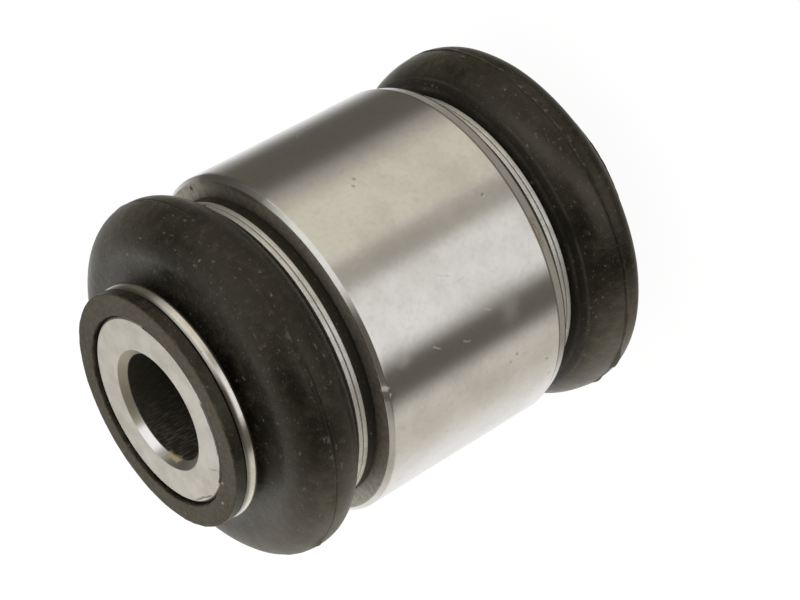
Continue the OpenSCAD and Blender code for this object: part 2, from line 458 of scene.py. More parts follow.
def turned_steel():
    """Ground steel of the outer sleeve, with turning lines, stains, scratches and pits, and lines of
    painted shade at the edges of the lead-in cone.
    """
    f = Finish("turned_steel")
    lines = f.noise(f.vector("MULTIPLY", f.mm, (0.03, 0.03, 4.0)), 1.0, 3.0, 0.6)
    blotch = f.noise(f.mm, 0.16, 4.0, 0.6)
    mottle = f.noise(f.mm, 1.5, 3.0, 0.65)
    ragged = f.wobbled(0.5, 2.2)
    straight = f.wobbled(0.2, 1.2)
    soft = f.wobbled(2.0, 0.35)
    scratches = f.highest([
        f.stroke(straight, on_sleeve(*a), on_sleeve(*b), width, SCRATCH_FADE) for a, b, width in SCRATCHES
    ])
    pits = f.highest([f.spot(ragged, on_sleeve(a, z), size, PIT_FADE) for a, z, size in PITS])
    face_pit = f.spot(ragged, (*FACE_PIT, end_z), *FACE_PIT_SIZE)
    smudges = f.highest([f.spot(soft, on_sleeve(a, z), 0.0, reach) for a, z, reach in SMUDGES])
    smear = smear_mask(f, ragged)
    stain = stain_mask(f)
    face_r = outer_r - FRONT_CHAMFER
    face = f.times(f.span(f.z, end_z - 0.06, end_z - 0.02), f.span(f.radius, face_r, face_r - 0.1))
    cone_edge_shade = f.band(f.z, -end_z + LEAD_IN_LEN - 0.04, *CONE_START_SHADE)
    corner = f.band(f.z, -end_z, *CONE_END_SHADE)
    colour = f.mix(f.span(blotch, 0.35, 0.75), STEEL_CLEAN, STEEL_DULL)
    colour = f.tint(colour, f.span(mottle, 0.45, 0.75), 0.24, STEEL_MOTTLE)
    colour = f.mix(face, colour, f.mix(f.span(mottle, 0.35, 0.7), END_PALE, END_DIM))
    colour = f.tint(colour, stain, 0.8, RUST_TAN)
    # Painted shade: a dark line at the cone's start edge and a darker one in the corner at its end
    colour = f.tint(colour, cone_edge_shade, 0.6, STEEL_PIT_AND_SHADE)
    colour = f.tint(colour, corner, 0.85, STEEL_PIT_AND_SHADE)
    colour = f.tint(colour, smear, 0.5, STEEL_PIT_AND_SHADE)
    colour = f.tint(colour, scratches, 0.22, STEEL_BRIGHT)
    colour = f.tint(colour, pits, 0.35, STEEL_PIT_AND_SHADE)
    colour = f.tint(colour, face_pit, 0.97, STEEL_PIT_AND_SHADE)
    rough = f.plus(f.span(blotch, 0.3, 0.8, 0.15, 0.21), f.times(mottle, 0.05))
    rough = f.plus(rough, f.times(smudges, 0.12))
    rough = f.plus(rough, f.times(f.highest([smear, stain, face]), 0.26))
    rough = f.plus(rough, f.times(scratches, 0.18))
    height = f.plus(f.times(lines, 0.6), f.times(mottle, 0.3))
    height = f.minus(height, f.times(pits, 5.0))
    tangent = f.node("ShaderNodeTangent", direction_type="RADIAL", axis="Z").outputs[0]
    f.set(Base_Color=colour, Metallic=1.0, Roughness=rough, Anisotropic=0.6,
          Anisotropic_Rotation=0.25, Tangent=tangent, Normal=f.bump(height, 0.003))
    return f.material


FACED_PALE = (0.64, 0.61, 0.545, 1)
FACED_DIM = (0.54, 0.505, 0.435, 1)
FACED_GRAIN = (0.44, 0.41, 0.36, 1)
CHAMFER_TAN = (0.43, 0.40, 0.31, 1)
CHAMFER_SHADE = (0.22, 0.205, 0.175, 1)
BORE_DARK = (0.036, 0.031, 0.022, 1)
BORE_BRUSHED_LIT = (0.15, 0.136, 0.110, 1)
DEPOSIT_TAN = (0.42, 0.35, 0.215, 1)
SHADE_BLACK = (0.02, 0.017, 0.012, 1)

# Stretches of the bore's chamfer along X: where its tan side and its side of painted shade begin and are
# full, and the centre, half width and softness of its polished part, which also carries a painted highlight
CHAMFER_TAN_X = (-1.0, 0.8)
CHAMFER_SHADE_X = (-4.6, -6.2)
CHAMFER_GLINT_X = (-2.4, 1.2, 1.2)
# Marks on the ball sleeve's front face: start and end as (angle, radius), half width
FACE_MARKS = [
    ((-152.0, 9.9), (-144.0, 11.8), 0.01),
    ((166.0, 11.75), (-179.0, 11.6), 0.05),
    ((-179.0, 11.6), (-172.0, 11.85), 0.05),
]
MARK_FADE = 0.07
# Painted shade in the corner at the rim of that face: start and end angle, half width
RIM_SHADE = [
    (-154, -128, 0.40),
    (-132, -112, 0.58),
    (-116, -98, 0.75),
    (-98, -40, 0.32),
]
# Tan deposit on the bore's chamfer: first and last angle, depth, half width and softness
DEPOSIT = (138, 152)
DEPOSIT_DEPTH = 0.75
DEPOSIT_SIZE = (0.20, 0.50)
# Step along X over which the drilling marks in the bore get brighter, as painted light on that wall
BORE_LIT_X = (4.0, -5.0)


def faced_steel():
    """Faced and drilled steel of the ball sleeve, with a bright face and a dull bore; painted shade in the
    bore, on the chamfer and at the face's rim, painted light on one wall of the bore and a painted
    highlight on the chamfer.
    """
    f = Finish("faced_steel")
    rings = f.join(f.times(f.radius, 5.0), f.times(f.x, 0.05), f.times(f.z, 3.0))
    facing = f.noise(rings, 1.0, 3.0, 0.6)
    blotch = f.noise(f.mm, 0.35, 4.0, 0.6)
    grain = f.noise(f.mm, 6.0, 4.0, 0.7)
    hatch = f.noise(f.vector("MULTIPLY", f.mm, (5.5, 0.9, 0.9)), 1.0, 3.0, 0.6)
    bore = f.span(f.radius, BORE_R + 0.02, BORE_R + 0.1, 1.0, 0.0)
    chamfer_r = BORE_R + BORE_CHAMFER
    chamfer = f.times(f.span(f.radius, chamfer_r + 0.05, chamfer_r), f.minus(1.0, bore))
    # The chamfer is tan on its +X side, darker on its -X side as painted shade, and paler between as a
    # painted highlight where it is also polished
    tan_side = f.times(chamfer, f.span(f.x, *CHAMFER_TAN_X))
    shadowed = f.times(chamfer, f.span(f.x, *CHAMFER_SHADE_X))
    polish_and_glint = f.times(chamfer, f.band(f.x, *CHAMFER_GLINT_X))
    deposit_r = chamfer_r - DEPOSIT_DEPTH
    first, last = [around(deposit_r, sleeve_z - DEPOSIT_DEPTH, math.radians(a)) for a in DEPOSIT]
    deposit = f.stroke(f.wobbled(1.3, 1.5), first, last, *DEPOSIT_SIZE)
    crooked = f.wobbled(0.5, 1.8)
    marks = f.highest([
        f.stroke(crooked, on_end(*a), on_end(*b), width, MARK_FADE) for a, b, width in FACE_MARKS
    ])
    uneven = f.wobbled(0.25, 1.5)
    painted_edge_shade = f.highest([f.rim_mark(uneven, start, end, LAND_R, width) for start, end, width in RIM_SHADE])
    brushed_and_lit = f.times(f.span(hatch, 0.42, 0.72), f.span(f.x, *BORE_LIT_X, 0.2, 1.0))
    colour = f.mix(f.span(blotch, 0.3, 0.8), FACED_PALE, FACED_DIM)
    colour = f.tint(colour, f.span(grain, 0.45, 0.70), 0.5, FACED_GRAIN)
    colour = f.tint(colour, tan_side, 0.9, CHAMFER_TAN)
    colour = f.tint(colour, shadowed, 0.7, CHAMFER_SHADE)
    colour = f.tint(colour, polish_and_glint, 0.9, STEEL_BRIGHT)
    # The bore's dark colour is in part painted shade; its drilling marks grow paler towards -X as painted
    # light on that wall
    colour = f.mix(bore, colour, f.mix(brushed_and_lit, BORE_DARK, BORE_BRUSHED_LIT))
    colour = f.tint(colour, deposit, 0.95, DEPOSIT_TAN)
    colour = f.tint(colour, marks, 0.6, STEEL_PIT_AND_SHADE)
    # Painted shade in the corner at the face's rim
    colour = f.tint(colour, painted_edge_shade, 0.92, SHADE_BLACK)
    rough = f.plus(f.span(blotch, 0.3, 0.8, 0.38, 0.48), f.times(grain, 0.08))
    rough = f.minus(rough, f.times(polish_and_glint, 0.22))
    rough = f.highest([rough, f.times(bore, 0.6), f.times(deposit, 0.8)])
    metal = f.minus(1.0, f.times(f.highest([bore, deposit, painted_edge_shade]), 0.7))
    height = f.plus(f.times(facing, 0.6), f.times(grain, 0.4))
    height = f.minus(height, f.times(marks, 3.0))
    f.set(Base_Color=colour, Metallic=metal, Roughness=rough, Normal=f.bump(height, 0.010))
    return f.material


RUBBER_BLACK = (0.0028, 0.0023, 0.0013, 1)
RUBBER_DIM = (0.0120, 0.0103, 0.0062, 1)
RUBBER_MOTTLE = (0.024, 0.021, 0.014, 1)
RUBBER_SCUFF = (0.050, 0.045, 0.033, 1)
RUBBER_DUST_AND_LIGHT = (0.110, 0.098, 0.068, 1)
RUBBER_HIGHLIGHT = (0.044, 0.040, 0.032, 1)
RUBBER_CLAMP_SHADE = (0.003, 0.0026, 0.0018, 1)
RUBBER_GLEAM = (1.0, 0.91, 0.72, 1)
RUBBER_SHEEN = (1.0, 0.93, 0.75, 1)
LIP_DARK = (0.038, 0.031, 0.019, 1)
LIP_PALE = (0.068, 0.056, 0.035, 1)
SEAM_SHADE = (0.004, 0.0035, 0.0025, 1)
FLASH_PALE = (0.10, 0.09, 0.07, 1)
CREASE_PALE = (0.075, 0.068, 0.055, 1)
DUST_GREY = (0.085, 0.078, 0.062, 1)
SPECK_DIM = (0.11, 0.10, 0.08, 1)
SPECK_PALE = (0.15, 0.138, 0.115, 1)
CRUMB_PALE = (0.45, 0.40, 0.35, 1)

# Planes of the boots' parting lines: side, height on the bore's axis, slopes along X and Y, and the
# share of the line that is left where it is faint
PARTING = {"front": (1, 22.65, -0.0175, 0.0, 0.25), "rear": (-1, 22.91, 0.006, 0.028, 0.8)}
# Steps along X at which a faint line turns full, on the low side and at the top
SEAM_FADE = (8.0, -10.0)
SEAM_RETURN = (17.0, 21.5)
# Half width and softness of the dark line, which is painted shade in the groove, and of the pale flash, and
# how far the flash lies beside it
SEAM_LINE = (0.02, 0.22)
FLASH_LINE = (0.1, 0.3)
FLASH_OFFSET = 0.3
# Heights of the creases round the rear boot's flank, half width and softness of their pale lines
CREASES = (17.5, 18.2)
CREASE_LINE = (0.04, 0.14)
# Distances from the clamp ring at which the flank's painted shade begins and is full
CLAMP_SHADE_REACH = (2.4, 0.8)
# Steps along X at which the rubber turns paler with dust and painted rim light, low on the boots and at
# their top, and at which spots of dust lie more freely
DUST_LIGHT_LOW_X = (-12.0, -23.5)
DUST_LIGHT_TOP_X = (15.0, 23.5)
DUST_SPOTS_X = (-8.0, -18.0)
# Steps in height, radius and X into the fold behind the rear boot's crown, paler with dust and painted rim
# light
FAR_FOLD_Z = (-25.0, -26.2)
FAR_FOLD_R = (20.0, 21.5)
FAR_FOLD_X = (-4.0, 6.0)
# Painted highlight streak along the rear boot's flank: height on the bore's axis, slope along X, half width
# and softness, and the steps along X at its ends
HIGHLIGHT_Z = -20.6
HIGHLIGHT_SLOPE = 0.244
HIGHLIGHT_SIZE = (0.2, 1.3)
HIGHLIGHT_LOW_X = (-8.0, -3.0)
HIGHLIGHT_TOP_X = (17.0, 8.0)
# Step in height to the rear boot, which is a little glossier
REAR_GLOSS_Z = (-16.0, -20.0)
# Pale crumbs on the front lip: angle in degrees, radius; then their size and softness
LIP_CRUMBS = [(-148.6, 12.75), (-163, 13.6)]
CRUMB_SIZE = (0.08, 0.2)


def parting_masks(f):
    """Masks of the painted shade in the boots' parting lines and of the pale flash beside them."""
    lines = []
    ridges = []
    for side, base, slope_x, slope_y, faint in PARTING.values():
        height = f.vector("DOT_PRODUCT", f.mm, (-slope_x, -slope_y, side))
        share = f.highest([f.span(f.x, *fade, faint, 1.0) for fade in (SEAM_FADE, SEAM_RETURN)])
        lines.append(f.times(f.band(height, base, *SEAM_LINE), share))
        ridges.append(f.band(height, base + FLASH_OFFSET, *FLASH_LINE))
    broken = f.span(f.noise(f.mm, 0.9, 4.0, 0.6), 0.54, 0.68)
    return f.highest(lines), f.times(f.highest(ridges), broken)


def lip_mask(f, mottle):
    """Mask of the end lip's buffed face, with an uneven edge."""
    worn = f.plus(f.depth, f.span(mottle, 0.3, 0.7, -0.12, 0.12))
    face = f.span(worn, boot_end_z - 0.22, boot_end_z - 0.06)
    return f.times(face, f.span(f.radius, END_LIP_R + 0.3, END_LIP_R + 0.2))


def dust_and_rim_light_mask(f, mottle):
    """Mask of the sides paler with dust and painted rim light: low on the boots, at their top and in the
    rear boot's far fold.
    """
    far_fold = f.times(f.span(f.z, *FAR_FOLD_Z, 0.0, 0.8), f.span(f.radius, *FAR_FOLD_R))
    far_fold = f.times(far_fold, f.span(f.x, *FAR_FOLD_X, 0.2, 1.0))
    sides = f.highest([f.span(f.x, *DUST_LIGHT_LOW_X), f.span(f.x, *DUST_LIGHT_TOP_X, 0.0, 0.5), far_fold])
    return f.times(sides, f.span(mottle, 0.3, 0.7, 0.5, 1.0))


def painted_highlight_mask(f):
    """Mask of the painted highlight streak on the rear boot's flank."""
    height = f.minus(f.z, f.times(f.x, HIGHLIGHT_SLOPE))
    ends = f.times(f.span(f.x, *HIGHLIGHT_LOW_X), f.span(f.x, *HIGHLIGHT_TOP_X))
    return f.times(f.band(height, HIGHLIGHT_Z, *HIGHLIGHT_SIZE), ends)


def moulded_rubber():
    """Black moulded rubber, dusty and scuffed, with a paler buffed end lip; painted shade beside the clamp
    rings and in the parting lines, painted rim light with the dust, and a painted highlight streak on the
    rear boot.
    """
    f = Finish("moulded_rubber")
    patches = f.noise(f.mm, 0.20, 4.0, 0.6)
    mottle = f.noise(f.mm, 0.75, 4.0, 0.65)
    grain = f.noise(f.mm, 3.2, 4.0, 0.65)
    scuffs = f.noise(f.vector("MULTIPLY", f.mm, (1.0, 1.0, 0.6)), 0.9, 5.0, 0.65)
    cloudy = f.noise(f.mm, 1.6, 5.0, 0.7)
    broken = f.span(f.noise(f.mm, 5.0, 3.0, 0.6), 0.42, 0.54)
    dust_share = f.highest([f.span(mottle, 0.40, 0.62, 0.15, 0.7), f.span(f.x, *DUST_SPOTS_X, 0.0, 0.3)])
    dust = f.times(f.span(f.noise(f.mm, 3.6, 4.0, 0.7), 0.62, 0.74), dust_share)
    fine = f.times(f.specks(2.8, 0.34), f.span(patches, 0.3, 0.6, 0.2, 0.6))
    flecks = f.times(f.specks(1.3, 0.32), f.span(patches, 0.3, 0.6, 0.15, 0.75))
    flecks = f.times(flecks, broken)
    seam_shade, flash = parting_masks(f)
    lip = lip_mask(f, mottle)
    dust_and_rim_light = dust_and_rim_light_mask(f, mottle)
    clamp_shade = f.span(f.depth, *[clamp_end_z + reach for reach in CLAMP_SHADE_REACH])
    creases = f.highest([f.band(f.z, -crease, *CREASE_LINE) for crease in CREASES])
    creases = f.times(creases, f.span(patches, 0.35, 0.6, 0.15, 1.0))
    crumb_places = [around(r, boot_end_z, math.radians(a)) for a, r in LIP_CRUMBS]
    crumbs = f.highest([f.spot(f.mm, place, *CRUMB_SIZE) for place in crumb_places])
    colour = f.mix(f.span(patches, 0.35, 0.72), RUBBER_BLACK, RUBBER_DIM)
    colour = f.tint(colour, f.span(mottle, 0.48, 0.72), 0.5, RUBBER_MOTTLE)
    colour = f.tint(colour, f.span(scuffs, 0.50, 0.75), 0.4, RUBBER_SCUFF)
    # Dust and painted rim light on the sides
    colour = f.tint(colour, dust_and_rim_light, 0.8, RUBBER_DUST_AND_LIGHT)
    # Painted highlight along the rear boot's flank
    colour = f.tint(colour, painted_highlight_mask(f), 0.5, RUBBER_HIGHLIGHT)
    # Painted shade on the flank beside the clamp ring
    colour = f.tint(colour, clamp_shade, 0.8, RUBBER_CLAMP_SHADE)
    colour = f.mix(lip, colour, f.mix(f.span(cloudy, 0.40, 0.62), LIP_DARK, LIP_PALE))
    colour = f.tint(colour, flash, 0.7, FLASH_PALE)
    colour = f.tint(colour, creases, 0.3, CREASE_PALE)
    colour = f.mix(dust, colour, DUST_GREY)
    colour = f.mix(fine, colour, SPECK_DIM)
    colour = f.mix(flecks, colour, SPECK_PALE)
    colour = f.tint(colour, crumbs, 0.7, CRUMB_PALE)
    # Painted shade in the parting lines' groove
    colour = f.tint(colour, seam_shade, 0.5, SEAM_SHADE)
    rough = f.plus(f.span(patches, 0.3, 0.75, 0.26, 0.38), f.times(grain, 0.10))
    rough = f.plus(rough, f.times(f.highest([clamp_shade, dust_and_rim_light]), 0.2))
    rough = f.plus(rough, f.times(lip, 0.28))
    rough = f.minus(rough, f.span(f.z, *REAR_GLOSS_Z, 0.0, 0.10))
    height = f.plus(f.times(grain, 0.6), f.times(mottle, 1.2))
    f.set(Base_Color=colour, Roughness=rough, Specular_IOR_Level=0.45, Specular_Tint=RUBBER_GLEAM,
          Sheen_Weight=0.10, Sheen_Roughness=0.3, Sheen_Tint=RUBBER_SHEEN, Normal=f.bump(height, 0.045))
    return f.material


FLAT_WIRE_CLEAN = (0.78, 0.76, 0.72, 1)
FLAT_WIRE_WORN = (0.64, 0.62, 0.57, 1)
FLAT_WIRE_ROUGH = (0.46, 0.58)
ROUND_WIRE_CLEAN = (0.76, 0.73, 0.67, 1)
ROUND_WIRE_WORN = (0.62, 0.59, 0.53, 1)
ROUND_WIRE_ROUGH = (0.14, 0.20)
WIRE_PIT = (0.20, 0.18, 0.15, 1)
# Painted shade along the edges of the neck rings: colour, and the depths at which it begins and is full
WIRE_SHADE = (0.17, 0.155, 0.11, 1)
SHADE_DEPTH = (0.07, 0.3)


def spring_wire(name, clean, worn, roughness):
    """Drawn spring steel with lines along the wire, and painted shade along the neck rings' edges."""
    f = Finish(name)
    drawn = f.noise(f.vector("MULTIPLY", f.mm, (0.10, 0.10, 7.0)), 1.0, 3.0, 0.6)
    blotch = f.noise(f.mm, 0.7, 4.0, 0.6)
    pits = f.span(f.noise(f.mm, 2.2, 2.0), 0.66, 0.74)
    colour = f.mix(f.span(blotch, 0.3, 0.8), clean, worn)
    colour = f.tint(colour, pits, 0.5, WIRE_PIT)
    # Painted shade on the neck ring's flanks beside the crevices
    painted_edge_shade = f.span(f.radius, *[neck_ring_r - depth for depth in SHADE_DEPTH])
    colour = f.tint(colour, painted_edge_shade, 0.7, WIRE_SHADE)
    rough = f.span(blotch, 0.3, 0.8, *roughness)
    f.set(Base_Color=colour, Metallic=1.0, Roughness=rough, Normal=f.bump(drawn, 0.004))
    return f.material


PLASTIC_IVORY = (0.70, 0.66, 0.54, 1)
PLASTIC_PALE = (0.82, 0.79, 0.68, 1)


def bearing_plastic():
    """Ivory bearing plastic with faint flow marks."""
    f = Finish("bearing_plastic")
    flow = f.noise(f.vector("MULTIPLY", f.mm, (0.1, 0.1, 0.5)), 1.0, 4.0)
    grain = f.noise(f.mm, 3.0, 3.0)
    colour = f.mix(flow, PLASTIC_IVORY, PLASTIC_PALE)
    f.set(Base_Color=colour, Roughness=f.span(grain, 0.2, 0.8, 0.38, 0.52), Normal=f.bump(grain, 0.01))
    return f.material


RING_DARK = (0.36, 0.35, 0.33, 1)
RING_PALE = (0.50, 0.49, 0.46, 1)


def ring_steel():
    """Dull turned steel of the hidden closing ring."""
    f = Finish("ring_steel")
    lines = f.noise(f.vector("MULTIPLY", f.mm, (0.05, 0.05, 4.0)), 1.0, 3.0)
    blotch = f.noise(f.mm, 0.4, 3.0)
    colour = f.mix(blotch, RING_DARK, RING_PALE)
    f.set(Base_Color=colour, Metallic=1.0, Roughness=f.span(blotch, 0.2, 0.8, 0.32, 0.46),
          Normal=f.bump(lines, 0.01))
    return f.material


# Pieces

# Knock on the outer sleeve's front edge: angle and spread in degrees, depth, the share of it that goes
# along the bore, the distances from the face and from the outside at which it begins and is full, and
# the close rows of points that it needs behind the edge and on the face
NICK_ANGLE = -119.5
NICK_SPAN = 1.0
NICK_DEPTH = 0.28
NICK_PUSH = 0.5
NICK_REACH_Z = (1.1, 0.3)
NICK_REACH_R = (1.2, 0.4)
NICK_ROWS = (1.8, 1.2, 0.8, 0.5)
NICK_FACE_ROW = 0.4


def outer_sleeve_section():
    """Section of the outer sleeve, with the lip, the shoulder and the rear collar inside."""
    edge = STEEL_EDGE
    edge_z = end_z - FRONT_CHAMFER
    face_r = outer_r - FRONT_CHAMFER
    return rounded([
        (outer_r, LEAD_IN_LEN - end_z, edge),
        *[(outer_r, edge_z - row, 0) for row in NICK_ROWS],
        (outer_r, edge_z, edge),
        (face_r, end_z, edge),
        (face_r - NICK_FACE_ROW, end_z, 0),
        (BEAD_IN_R, end_z, edge),
        (BEAD_IN_R, end_z - LIP_DEPTH, edge),
        (HOUSING_R, end_z - LIP_DEPTH, 0),
        (HOUSING_R, -SHOULDER_Z, 0),
        (COLLAR_IN_R, -SHOULDER_Z, edge),
        (COLLAR_IN_R, rear_collar_z, edge),
        (COLLAR_R, rear_collar_z, 2 * edge),
        (COLLAR_R, -end_z, 0),
        (outer_r - LEAD_IN_DEPTH, -end_z, edge),
    ])


def nicked(r, z, angle):
    """The outer sleeve's surface, with a small knock on its front edge."""
    turn = math.degrees(angle) - 360 - NICK_ANGLE
    near_edge = smooth_step(*NICK_REACH_Z, end_z - z) * smooth_step(*NICK_REACH_R, outer_r - r)
    depth = NICK_DEPTH * near_edge * bell(turn, NICK_SPAN)
    return around(r - depth, z - NICK_PUSH * depth, angle)


def sleeve_half():
    """Outside of one half of the ball sleeve, from the ball's widest place to the bore."""
    groove_end = sleeve_z - LAND_LEN
    groove_start = groove_end - GROOVE_W
    neck_turn = math.degrees(math.asin(NECK_R / ball_r))
    ball = [(r, z, 0) for r, z in arc((0, 0), ball_r, ball_r, 90, neck_turn, 24)]
    return ball + [
        (NECK_R, groove_start - LAND_LEN, 0),
        (LAND_R, groove_start - LAND_LEN, LAND_EDGE),
        (LAND_R, groove_start, LAND_EDGE),
        (GROOVE_R, groove_start, 0),
        (GROOVE_R, groove_end, 0),
        (LAND_R, groove_end, LAND_EDGE),
        (LAND_R, sleeve_z - LAND_CHAMFER, FACE_EDGE),
        (LAND_R - LAND_CHAMFER, sleeve_z, FACE_EDGE),
        (BORE_R + BORE_CHAMFER, sleeve_z, BORE_EDGE),
        (BORE_R, sleeve_z - BORE_CHAMFER, BORE_EDGE),
    ]


def ball_sleeve_section():
    """Section of the ball sleeve, whose rear half mirrors the front one."""
    front = sleeve_half()
    rear = [(r, -z, size) for r, z, size in front[:0:-1]]
    return rounded(rear + front)


# Distance between points near the parting line and near a crease, and how far such stretches reach
SEAM_FINENESS = 0.05
SEAM_REACH = (0.2, 0.4)
CREASE_FINENESS = 0.06
CREASE_REACH = 0.3


def boot_section(crown_r, crown_z, turn, fold_depth, fold_z, parting, creases):
    """Section of a boot at the front end, with its bead, flank, fold, neck and end lip."""
    flank = (CLAMP_SEAT_R + FLANK_STEP, clamp_end_z + 2 * SEAT_GAP)
    turn_z = flank[1] + turn * (crown_z - flank[1])
    fold_r = crown_r - fold_depth
    neck_z = neck_ring_z - SEAT_GAP
    bead = rounded([
        (BEAD_IN_R, boot_start_z, RIB_EDGE),
        (BEAD_R, boot_start_z, RUBBER_ROUND),
        (BEAD_R, clamp_z - SEAT_GAP, RUBBER_EDGE),
        (CLAMP_SEAT_R, clamp_z - SEAT_GAP, 0),
        (CLAMP_SEAT_R, clamp_end_z + SEAT_GAP, 0),
    ])
    outside = bend(flank, (crown_r, turn_z), (crown_r, crown_z), FLANK_STEPS)
    outside += arc((fold_r, crown_z), fold_depth, fold_z - crown_z, CROWN_TURN, 0, FOLD_STEPS)
    outside += arc((fold_r, neck_z), fold_r - NECK_SEAT_R, neck_z - fold_z, 185, 270, NECK_STEPS)
    outside = finer(outside, *parting, SEAM_FINENESS)
    for crease in creases:
        outside = finer(outside, crease - CREASE_REACH, crease + CREASE_REACH, CREASE_FINENESS)
    rib_end = sleeve_z - LAND_LEN - RIB_INSET
    rib_start = sleeve_z - LAND_LEN - GROOVE_W + RIB_INSET
    lip = rounded([
        (NECK_SEAT_R, neck_ring_end_z + SEAT_GAP, 0),
        (END_LIP_R, neck_ring_end_z + SEAT_GAP, RUBBER_EDGE),
        (END_LIP_R, boot_end_z, RUBBER_EDGE),
        (NECK_IN_R, boot_end_z, RUBBER_EDGE),
        (NECK_IN_R, rib_end + RIB_SLOPE, RIB_EDGE),
        (RIB_R, rib_end, RIB_EDGE),
        (RIB_R, rib_start, RIB_EDGE),
        (NECK_IN_R, rib_start - RIB_SLOPE, RIB_EDGE),
        (NECK_IN_R, fold_z - BOOT_WALL, 0),
    ])
    inside = arc((fold_r, crown_z), fold_depth - BOOT_WALL, fold_z - crown_z - BOOT_WALL,
                 0, CROWN_TURN, INSIDE_STEPS)
    inside += bend((crown_r - BOOT_WALL, crown_z), (crown_r - BOOT_WALL, turn_z + BOOT_WALL),
                   (BEAD_IN_R, -rear_collar_z + SEAT_GAP), INSIDE_STEPS)
    return bead + outside + lip + inside


# Waves of the boots: height in millimetres, offset and scale of their noise
BULGE_WAVE = (0.10, 0, 0.16)
RIM_WAVE = (0.05, 40, 0.45)
RIM_RIPPLE = (0.06, 80, 1.3)
LIP_TEAR = (0.08, 120, 2.4)
# Relief of the boots, in millimetres
SEAM_RIDGE = 0.04
SEAM_GROOVE = 0.07
SEAM_WIDTH = 0.12
FLASH_USUAL = 0.07
FLASH_RAGGED = 0.35
FLASH_WIDTH = 0.13
FLASH_PLACE = 0.26
CREASE_HEIGHT = 0.10
CREASE_WIDTH = 0.13
LIP_OVAL = 0.32
# Patches in which the flash and the creases stand up: noise at which they begin and are full, its
# offset and scale
FLASH_PATCHES = (-0.1, 0.4, 0, 0.3)
CREASE_PATCHES = (-0.3, 0.4, 20, 0.25)
# Steps along X and Y to the place where the flash is ragged
FLASH_FAR_X = (-13.0, -20.0)
FLASH_NEAR_Y = (0.0, -4.0)


def wave(place, height, offset, scale):
    """Smooth noise at a place on a boot; each offset gives another pattern."""
    x, y, z = place
    return height * noise.noise(Vector((x, y, z + offset)) * scale)


def patchy(place, start, full, offset, scale):
    """A share from 0 to 1 that comes and goes over a boot."""
    return smooth_step(start, full, wave(place, 1, offset, scale))


def parting_relief(offset, flash):
    """Height of the parting line at a distance from it: a fine groove beside a ragged ridge of flash."""
    ridge = (SEAM_RIDGE + flash) * bell(offset - FLASH_PLACE, FLASH_WIDTH)
    return ridge - SEAM_GROOVE * bell(offset, SEAM_WIDTH)


def make_boot(name, side, crown_r, crown_z, turn, fold_depth, fold_z, shift, lip_shift, creases):
    """A boot whose bulge sits a little off the bore, as it was moulded and pulled on."""
    _, base, slope_x, slope_y, faint = PARTING["front" if side > 0 else "rear"]
    sway = crown_r * math.hypot(slope_x, slope_y)
    outline = boot_section(crown_r, crown_z, turn, fold_depth, fold_z,
                           (base - sway - SEAM_REACH[0], base + sway + SEAM_REACH[1]), creases)

    def pulled(r, z, angle):
        depth = abs(z)
        place = around(r, z, angle)
        x, y, _ = place
        bulge = smooth_step(clamp_end_z, crown_z, depth) * smooth_step(neck_ring_z, crown_z, depth)
        rim = smooth_step(neck_ring_end_z, boot_end_z, depth)
        uneven = wave(place, *BULGE_WAVE) * bulge
        if r > crown_r - 1:
            far = smooth_step(*FLASH_FAR_X, x) * smooth_step(*FLASH_NEAR_Y, y)
            flash = (FLASH_USUAL + FLASH_RAGGED * far) * patchy(place, *FLASH_PATCHES)
            share = faint + (1 - faint) * max(smooth_step(*SEAM_FADE, x), smooth_step(*SEAM_RETURN, x))
            uneven += share * parting_relief(depth - base - slope_x * x - slope_y * y, flash)
        if r > CLAMP_SEAT_R + 0.1:
            fold = CREASE_HEIGHT * patchy(place, *CREASE_PATCHES)
            uneven += sum(fold * bell(depth - crease, CREASE_WIDTH) for crease in creases)
        uneven += rim * wave(place, *RIM_WAVE)
        uneven += rim * wave(place, *RIM_RIPPLE)
        if r < NECK_SEAT_R:
            uneven += LIP_OVAL * rim * math.sin(angle) ** 2
            uneven += rim * wave(place, *LIP_TEAR)
        grow = 1 + uneven / max(r, 1)
        return (x * grow + shift[0] * bulge + lip_shift[0] * rim,
                y * grow + shift[1] * bulge + lip_shift[1] * rim, z)

    piece = lathe(name, [(r, side * z) for r, z in outline], rubber, pulled)
    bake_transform(piece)
    return piece


def turn_shift(angle):
    """Step of the clamp ring's wire along the bore: none on the first turn, one pitch on the second."""
    return TURN_PITCH * smooth_step(360 - CROSSOVER, 360, angle)


def make_clamp_ring(name, side):
    """Two turns of flat wire; the rear ring is the front one turned over about X."""
    inner_r = clamp_r - WIRE_H
    wire = rounded([
        (0, 0, WIRE_IN_ROUND),
        (WIRE_H, 0, WIRE_ROUND),
        (WIRE_H, WIRE_W, WIRE_ROUND),
        (0, WIRE_W, WIRE_IN_ROUND),
    ], hold=WIRE_HOLD)
    count = len(wire)
    rings = int((720 - CROSSOVER) / WIRE_STEP) + 1
    points = []
    for i in range(rings):
        turn = i * WIRE_STEP
        for r, z in wire:
            x, y, height = around(inner_r + r, clamp_z + z + turn_shift(turn), math.radians(turn))
            points.append((x, side * y, side * height))
    faces = []
    for i in range(rings - 1):
        here, there = i * count, (i + 1) * count
        for k in range(count):
            n = (k + 1) % count
            faces.append((here + k, there + k, there + n, here + n))
    faces.append(tuple(range(count)))
    faces.append(tuple((rings - 1) * count + k for k in reversed(range(count))))
    return make_piece(name, points, faces, flat_wire)


